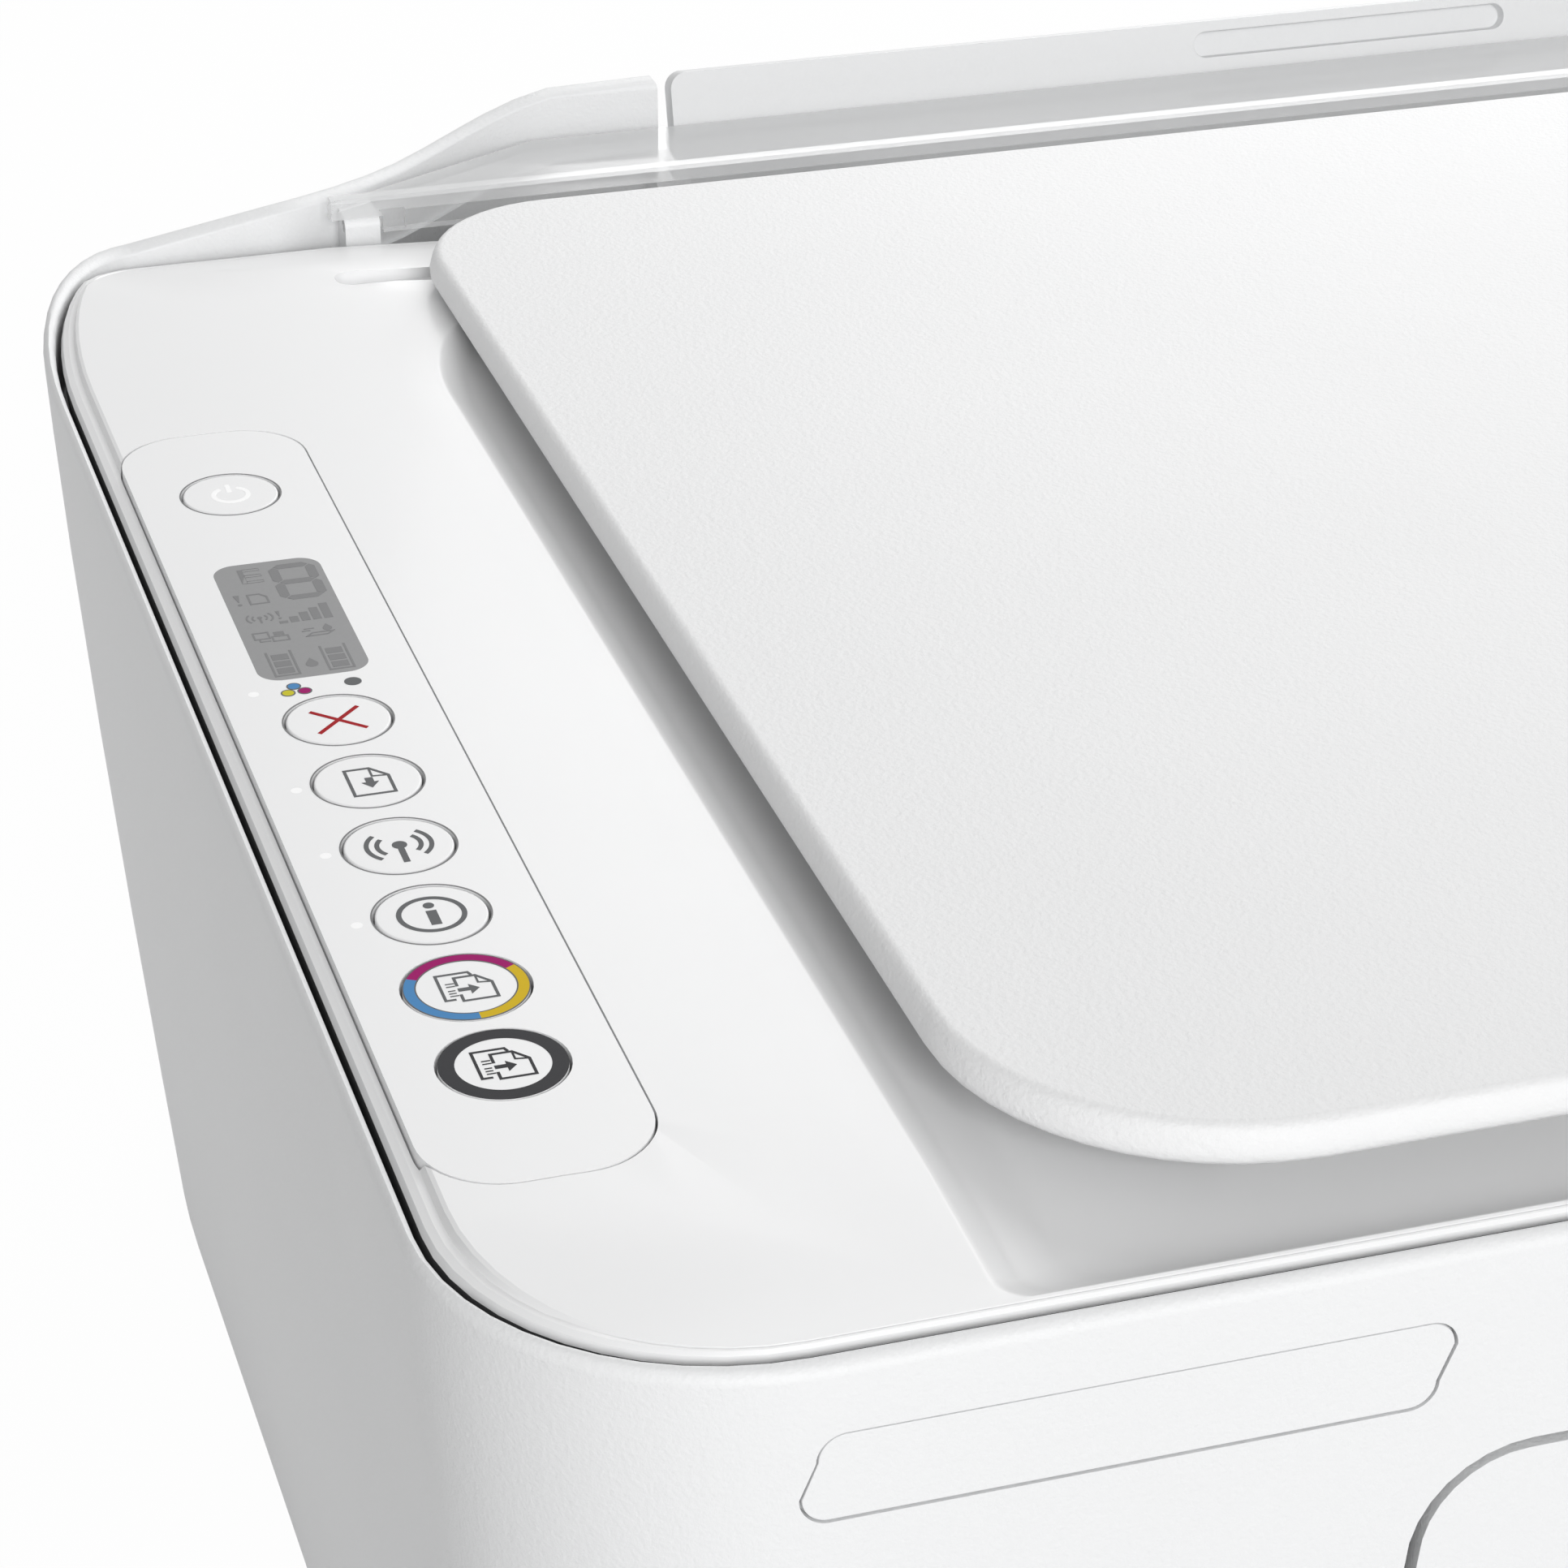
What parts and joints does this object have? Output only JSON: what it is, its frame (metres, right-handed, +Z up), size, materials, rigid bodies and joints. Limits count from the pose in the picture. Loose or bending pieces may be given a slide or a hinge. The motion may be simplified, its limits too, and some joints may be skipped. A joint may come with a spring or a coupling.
{
  "type": "inkjet printer",
  "caption": "Desktop inkjet printer with a flatbed scanner, lift-up rear paper tray, front cartridge door, pull-out paper tray and a button panel.",
  "frame": {"origin": "bottom centre of the body, on the surface it stands on", "axes": "+X to the right along the body's width, +Y to the back where the paper tray is, +Z up"},
  "size_m": [0.423, 0.304, 0.149],
  "materials": {
    "housing_plastic": "fine-grained moulded off-white plastic",
    "deck_plastic": "smooth satin white plastic",
    "lid_plastic": "fine-grained matte white plastic",
    "panel_plastic": "smooth white panel film with printed marks",
    "display_plastic": "grey display behind a smooth window",
    "light_plastic": "white light pipe",
    "clear_plastic": "clear moulded plastic",
    "scanner_glass": "clear float glass",
    "foam": "white foam sheet with a smooth film face",
    "grey_plastic": "moulded grey plastic",
    "dark_plastic": "moulded black plastic",
    "gear_plastic": "natural acetal",
    "sheet_steel": "zinc-plated sheet steel",
    "polished_steel": "ground steel rod",
    "brass": "turned brass",
    "rubber": "matte rubber",
    "circuit_board": "green solder mask"
  },
  "bodies": {
    "chassis": {"outer_housing": "housing_plastic", "base_tray": "housing_plastic", "rubber_feet": "rubber", "top_deck": "deck_plastic", "front_badge": "housing_plastic", "scanner_tray": "grey_plastic", "scanner_glass": "scanner_glass", "scan_rail": "polished_steel", "scan_belt": "rubber", "scan_motor": "sheet_steel", "control_panel_bezel": "panel_plastic", "lcd_window": "display_plastic", "lcd_module": "display_plastic", "indicator_lights": "light_plastic", "panel_circuit_board": "circuit_board", "paper_chute": "housing_plastic", "print_chassis": "dark_plastic", "carriage_rail": "sheet_steel", "guide_rod": "polished_steel", "carriage_belt": "rubber", "carriage_motor": "sheet_steel", "feed_motor": "sheet_steel", "platen": "dark_plastic", "main_board": "circuit_board", "power_supply": "dark_plastic"},
    "scan_head": {"scan_bar": "dark_plastic"},
    "scan_drive": {"scan_drive_pulley": "brass"},
    "scan_idler": {"scan_idler_pulley": "brass"},
    "power_key": {"power_button": "panel_plastic"},
    "cancel_key": {"cancel_button": "panel_plastic"},
    "resume_key": {"resume_button": "panel_plastic"},
    "wireless_key": {"wireless_button": "panel_plastic"},
    "info_key": {"info_button": "panel_plastic"},
    "colour_copy_key": {"colour_copy_button": "panel_plastic"},
    "black_copy_key": {"black_copy_button": "panel_plastic"},
    "lid": {"scanner_lid": "lid_plastic", "lid_backing": "foam", "lid_hinge_arms": "grey_plastic"},
    "door": {"cartridge_door": "housing_plastic"},
    "rear_tray": {"input_tray": "housing_plastic"},
    "shield": {"paper_tray_shield": "clear_plastic"},
    "left_guide": {"left_paper_guide": "grey_plastic"},
    "right_guide": {"right_paper_guide": "grey_plastic"},
    "front_tray": {"output_tray": "housing_plastic"},
    "extender": {"tray_extender": "housing_plastic"},
    "stop_flap": {"paper_stop": "housing_plastic"},
    "print_head": {"carriage": "dark_plastic", "colour_cartridge": "grey_plastic", "black_cartridge": "dark_plastic"},
    "belt_drive": {"belt_drive_pulley": "brass"},
    "belt_idler": {"belt_idler_pulley": "brass"},
    "feed_shaft": {"feed_roller": "rubber"},
    "output_shaft": {"output_roller": "rubber"},
    "pickup_shaft": {"pickup_roller": "rubber"},
    "idler": {"idler_gear": "gear_plastic"},
    "transfer": {"transfer_gear": "gear_plastic"},
    "relay": {"relay_gear": "gear_plastic"},
    "pinion": {"motor_pinion": "brass"},
    "pinch": {"pinch_roller": "rubber"},
    "sled": {"service_station": "grey_plastic"}
  },
  "joints": [
    {"name": "lid_hinge", "type": "hinge", "parent": "chassis", "child": "lid", "pos_m": [0, 0.117, 0.1375], "axis": [-1, 0, 0], "range_deg": [0, 75]},
    {"name": "door_hinge", "type": "hinge", "parent": "chassis", "child": "door", "pos_m": [0, -0.1457, 0.0545], "axis": [1, 0, 0], "range_deg": [0, 80]},
    {"name": "tray_lift", "type": "slide", "parent": "chassis", "child": "rear_tray", "axis": [0, 0.2588, 0.9659], "range_m": [0, 0.103]},
    {"name": "shield_hinge", "type": "hinge", "parent": "chassis", "child": "shield", "pos_m": [0, 0.1266, 0.1387], "axis": [1, 0, 0], "range_deg": [0, 50]},
    {"name": "left_guide_slide", "type": "slide", "parent": "chassis", "child": "left_guide", "axis": [1, 0, 0], "range_m": [0, 0.06]},
    {"name": "right_guide_slide", "type": "slide", "parent": "chassis", "child": "right_guide", "axis": [-1, 0, 0], "range_m": [0, 0.06]},
    {"name": "front_tray_slide", "type": "slide", "parent": "chassis", "child": "front_tray", "axis": [0, -1, 0], "range_m": [0, 0.1]},
    {"name": "extender_slide", "type": "slide", "parent": "front_tray", "child": "extender", "axis": [0, -1, 0], "range_m": [0, 0.092]},
    {"name": "stop_hinge", "type": "hinge", "parent": "extender", "child": "stop_flap", "pos_m": [0, -0.1446, 0.0253], "axis": [1, 0, 0], "range_deg": [0, 90]},
    {"name": "scan_slide", "type": "slide", "parent": "chassis", "child": "scan_head", "axis": [1, 0, 0], "range_m": [0, 0.3]},
    {"name": "scan_drive_spin", "type": "hinge", "parent": "chassis", "child": "scan_drive", "pos_m": [-0.1502, 0.001, 0.119], "axis": [0, 0, 1], "range_deg": [-5, 3190]},
    {"name": "scan_idler_spin", "type": "hinge", "parent": "chassis", "child": "scan_idler", "pos_m": [0.1887, 0.001, 0.119], "axis": [0, 0, 1], "range_deg": [-5, 3190]},
    {"name": "carriage_slide", "type": "slide", "parent": "chassis", "child": "print_head", "axis": [-1, 0, 0], "range_m": [0, 0.238]},
    {"name": "belt_drive_spin", "type": "hinge", "parent": "chassis", "child": "belt_drive", "pos_m": [-0.114, 0.008, 0.097], "axis": [0, 0, 1], "range_deg": [-2135, 5]},
    {"name": "belt_idler_spin", "type": "hinge", "parent": "chassis", "child": "belt_idler", "pos_m": [0.176, 0.008, 0.097], "axis": [0, 0, 1], "range_deg": [-2135, 5]},
    {"name": "feed_spin", "type": "hinge", "parent": "chassis", "child": "feed_shaft", "pos_m": [0, 0, 0.0495], "axis": [1, 0, 0], "continuous": true},
    {"name": "output_spin", "type": "hinge", "parent": "chassis", "child": "output_shaft", "pos_m": [0, -0.06, 0.0495], "axis": [1, 0, 0], "continuous": true},
    {"name": "pickup_spin", "type": "hinge", "parent": "chassis", "child": "pickup_shaft", "pos_m": [0, 0.089, 0.0495], "axis": [1, 0, 0], "continuous": true},
    {"name": "idler_spin", "type": "hinge", "parent": "chassis", "child": "idler", "pos_m": [-0.1375, -0.03, 0.0495], "axis": [1, 0, 0], "continuous": true},
    {"name": "transfer_spin", "type": "hinge", "parent": "chassis", "child": "transfer", "pos_m": [-0.1375, 0.03, 0.0495], "axis": [1, 0, 0], "continuous": true},
    {"name": "relay_spin", "type": "hinge", "parent": "chassis", "child": "relay", "pos_m": [-0.1375, 0.06, 0.0495], "axis": [1, 0, 0], "continuous": true},
    {"name": "pinion_spin", "type": "hinge", "parent": "chassis", "child": "pinion", "pos_m": [-0.1375, 0, 0.0285], "axis": [1, 0, 0], "continuous": true},
    {"name": "pinch_spin", "type": "hinge", "parent": "chassis", "child": "pinch", "pos_m": [0, 0, 0.0578], "axis": [1, 0, 0], "continuous": true},
    {"name": "sled_slide", "type": "slide", "parent": "chassis", "child": "sled", "axis": [0, 1, 0], "range_m": [0, 0.01]},
    {"name": "power_press", "type": "slide", "parent": "chassis", "child": "power_key", "axis": [0, 0, -1], "range_m": [0, 0.0006], "stiffness_N_per_m": 1200, "springref_m": -0.0005},
    {"name": "cancel_press", "type": "slide", "parent": "chassis", "child": "cancel_key", "axis": [0, 0, -1], "range_m": [0, 0.0006], "stiffness_N_per_m": 1200, "springref_m": -0.0005},
    {"name": "resume_press", "type": "slide", "parent": "chassis", "child": "resume_key", "axis": [0, 0, -1], "range_m": [0, 0.0006], "stiffness_N_per_m": 1200, "springref_m": -0.0005},
    {"name": "wireless_press", "type": "slide", "parent": "chassis", "child": "wireless_key", "axis": [0, 0, -1], "range_m": [0, 0.0006], "stiffness_N_per_m": 1200, "springref_m": -0.0005},
    {"name": "info_press", "type": "slide", "parent": "chassis", "child": "info_key", "axis": [0, 0, -1], "range_m": [0, 0.0006], "stiffness_N_per_m": 1200, "springref_m": -0.0005},
    {"name": "colour_copy_press", "type": "slide", "parent": "chassis", "child": "colour_copy_key", "axis": [0, 0, -1], "range_m": [0, 0.0006], "stiffness_N_per_m": 1200, "springref_m": -0.0005},
    {"name": "black_copy_press", "type": "slide", "parent": "chassis", "child": "black_copy_key", "axis": [0, 0, -1], "range_m": [0, 0.0006], "stiffness_N_per_m": 1200, "springref_m": -0.0005}
  ],
  "couplings": [
    {"joint": "right_guide_slide", "follows": "left_guide_slide", "ratio": 1},
    {"joint": "scan_drive_spin", "follows": "scan_slide", "rad_per_m": 185.19},
    {"joint": "scan_idler_spin", "follows": "scan_slide", "rad_per_m": 185.19},
    {"joint": "belt_drive_spin", "follows": "carriage_slide", "rad_per_m": -156.25},
    {"joint": "belt_idler_spin", "follows": "carriage_slide", "rad_per_m": -156.25},
    {"joint": "output_spin", "follows": "feed_spin", "ratio": 1},
    {"joint": "idler_spin", "follows": "feed_spin", "ratio": -1},
    {"joint": "transfer_spin", "follows": "feed_spin", "ratio": -1},
    {"joint": "relay_spin", "follows": "feed_spin", "ratio": 1},
    {"joint": "pickup_spin", "follows": "feed_spin", "ratio": -1.0714},
    {"joint": "pinion_spin", "follows": "feed_spin", "ratio": -2.5},
    {"joint": "pinch_spin", "follows": "feed_spin", "ratio": -1.6667}
  ]
}
